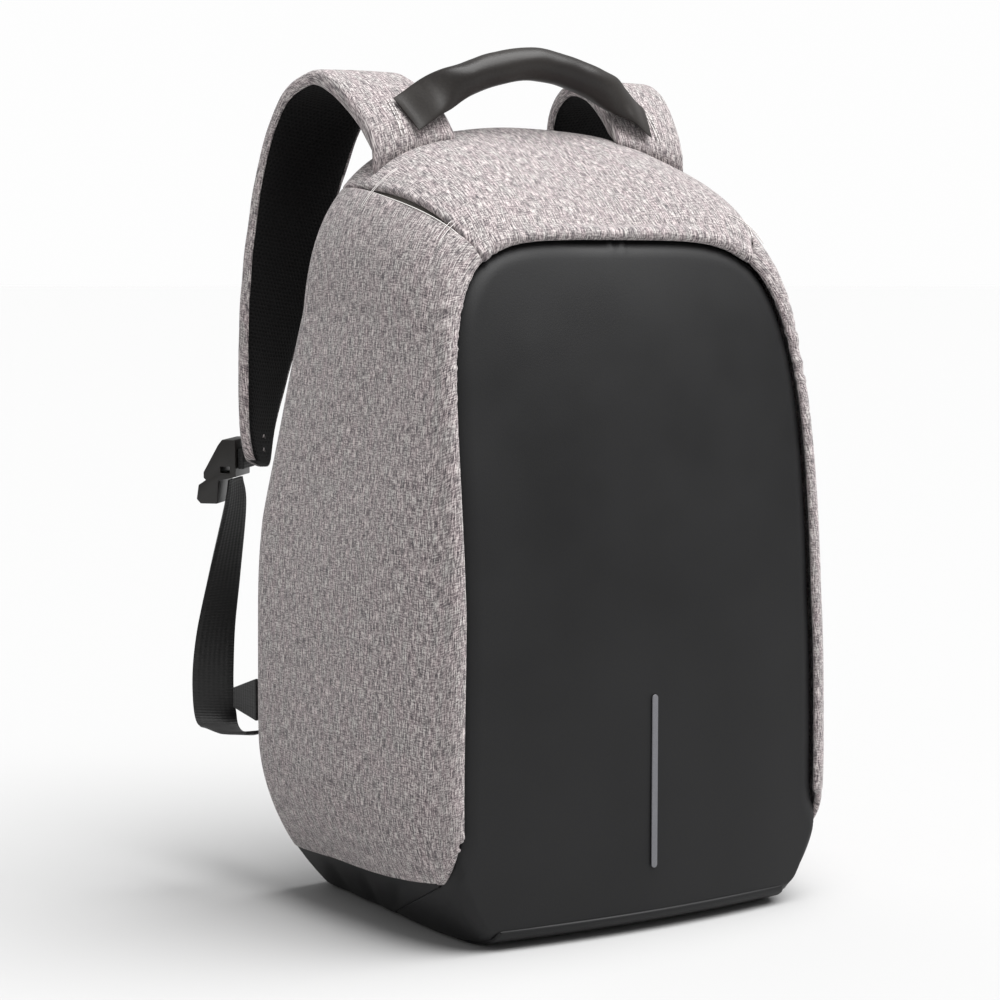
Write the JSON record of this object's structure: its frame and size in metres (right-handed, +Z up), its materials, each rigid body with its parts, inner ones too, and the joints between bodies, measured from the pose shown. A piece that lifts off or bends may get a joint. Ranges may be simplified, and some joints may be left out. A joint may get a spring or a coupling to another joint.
{
  "type": "backpack",
  "caption": "Rounded fabric backpack with a coated front panel set in a rolled rim, padded shoulder straps with adjuster buckles, slit side pockets and a padded top handle.",
  "frame": {"origin": "middle of the footprint, straps included, on the surface the bag stands on", "axes": "+Z up, the front panel faces -Y, the straps hang at +Y, X = 0 is the plane of symmetry"},
  "size_m": [0.3306, 0.2594, 0.4938],
  "materials": {
    "coated_fabric": "satin coated",
    "melange_fabric": "woven melange",
    "lining_fabric": "matte",
    "spacer_mesh": "matte mesh",
    "webbing": "woven",
    "buckle_plastic": "satin",
    "reflective_tape": "satin"
  },
  "bodies": {
    "root": {"front_panel": "coated_fabric", "base_panel": "coated_fabric", "base_gusset_left": "coated_fabric", "base_gusset_right": "coated_fabric", "top_handle": "coated_fabric", "side_panel_left": "melange_fabric", "side_panel_right": "melange_fabric", "top_panel": "melange_fabric", "strap_cover_left": "melange_fabric", "strap_cover_right": "melange_fabric", "slit_lining_left": "lining_fabric", "slit_lining_right": "lining_fabric", "back_panel": "spacer_mesh", "strap_pad_left": "spacer_mesh", "strap_pad_right": "spacer_mesh", "buckle_tab_left": "webbing", "buckle_tab_right": "webbing", "webbing_left": "webbing", "webbing_right": "webbing", "anchor_tab_left": "webbing", "anchor_tab_right": "webbing", "adjuster_left": "buckle_plastic", "adjuster_right": "buckle_plastic", "reflective_strip": "reflective_tape"}
  },
  "joints": []
}
